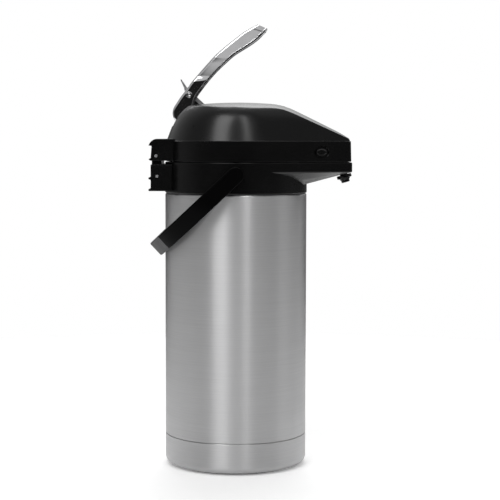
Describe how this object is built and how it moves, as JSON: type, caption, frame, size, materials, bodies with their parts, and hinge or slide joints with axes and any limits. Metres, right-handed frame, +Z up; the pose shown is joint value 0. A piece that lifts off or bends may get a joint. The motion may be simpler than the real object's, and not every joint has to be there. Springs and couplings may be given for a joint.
{
  "type": "thermal coffee airpot",
  "caption": "Upright thermal coffee airpot: brushed steel vacuum flask with a black hinged pump lid, chrome press lever, side spout, nozzle and swinging bail handle.",
  "frame": {"origin": "centre of the base face, on the flask's axis, at the surface it stands on", "axes": "+Z up along the flask's axis, +X towards the spout, +Y to the left of someone looking along the spout; the Y direction is the narrow one"},
  "size_m": [0.2282, 0.182, 0.4973],
  "materials": {
    "brushed_steel": "horizontally brushed stainless steel",
    "liner_steel": "electropolished stainless steel",
    "lever_chrome": "polished chrome plate",
    "pin_steel": "bright drawn steel",
    "black_plastic": "satin moulded black",
    "bail_plastic": "fine-textured black",
    "inner_plastic": "moulded dark grey",
    "silicone": "food-grade translucent silicone",
    "foot_rubber": "black non-slip rubber"
  },
  "bodies": {
    "root": {"base_pad": "foot_rubber", "base_cap": "brushed_steel", "outer_shell": "brushed_steel", "inner_liner": "liner_steel", "liner_support": "silicone", "neck_gasket": "silicone", "collar_shell": "black_plastic", "inner_funnel": "inner_plastic", "dip_tube": "inner_plastic", "spout_duct": "inner_plastic", "nozzle": "black_plastic", "hinge_bracket": "black_plastic", "hinge_pin": "pin_steel", "bracket_pin": "pin_steel", "bail_pivot_left": "black_plastic", "bail_pivot_right": "black_plastic"},
    "lid": {"lid_shell": "black_plastic", "lid_base": "inner_plastic", "lid_gasket": "silicone", "air_valve": "silicone", "lid_screw_1": "pin_steel", "lid_screw_2": "pin_steel", "lid_screw_3": "pin_steel", "lid_screw_4": "pin_steel", "fulcrum_pin": "pin_steel", "lock_keeper": "pin_steel", "bellows": "silicone", "return_spring": "pin_steel"},
    "lever": {"lever": "lever_chrome", "link_rivet": "lever_chrome"},
    "link": {"link": "inner_plastic", "plunger_pin": "pin_steel"},
    "plunger": {"plunger": "inner_plastic"},
    "lock_catch": {"lock_catch": "lever_chrome"},
    "button_left": {"release_button_left": "black_plastic"},
    "button_right": {"release_button_right": "black_plastic"},
    "bail": {"bail": "bail_plastic"}
  },
  "joints": [
    {"name": "lid_open", "type": "hinge", "parent": "root", "child": "lid", "pos_m": [-0.0882, 0, 0.3506], "axis": [0, -1, 0], "range_deg": [0, 95]},
    {"name": "lever_press", "type": "hinge", "parent": "lid", "child": "lever", "pos_m": [-0.057, 0, 0.394], "axis": [0, 1, 0], "range_deg": [0, 38], "stiffness_Nm_per_rad": 0.8, "springref_deg": -28.65},
    {"name": "link_swing", "type": "hinge", "parent": "lever", "child": "link", "pos_m": [-0.0525, 0, 0.4188], "axis": [0, 1, 0], "range_deg": [-22.5, 0]},
    {"name": "plunger_slide", "type": "slide", "parent": "lid", "child": "plunger", "axis": [0, 0, -1], "range_m": [0, 0.0155], "deforming": ["bellows", "return_spring"]},
    {"name": "catch_turn", "type": "hinge", "parent": "lever", "child": "lock_catch", "pos_m": [-0.0525, 0, 0.4188], "axis": [0, 1, 0], "range_deg": [0, 18], "stiffness_Nm_per_rad": 0.01, "springref_deg": -22.92},
    {"name": "button_left_push", "type": "slide", "parent": "lid", "child": "button_left", "axis": [-0.4163, -0.9092, 0], "range_m": [0, 0.003], "stiffness_N_per_m": 300, "springref_m": -0.003},
    {"name": "button_right_push", "type": "slide", "parent": "lid", "child": "button_right", "axis": [-0.4163, 0.9092, 0], "range_m": [0, 0.003], "stiffness_N_per_m": 300, "springref_m": -0.003},
    {"name": "bail_swing", "type": "hinge", "parent": "root", "child": "bail", "pos_m": [0, 0, 0.33], "axis": [0, -1, 0], "range_deg": [-96, 0]}
  ],
  "couplings": [
    {"joint": "link_swing", "follows": "lever_press", "ratio": -0.588},
    {"joint": "plunger_slide", "follows": "lever_press", "m_per_rad": 0.02322}
  ]
}
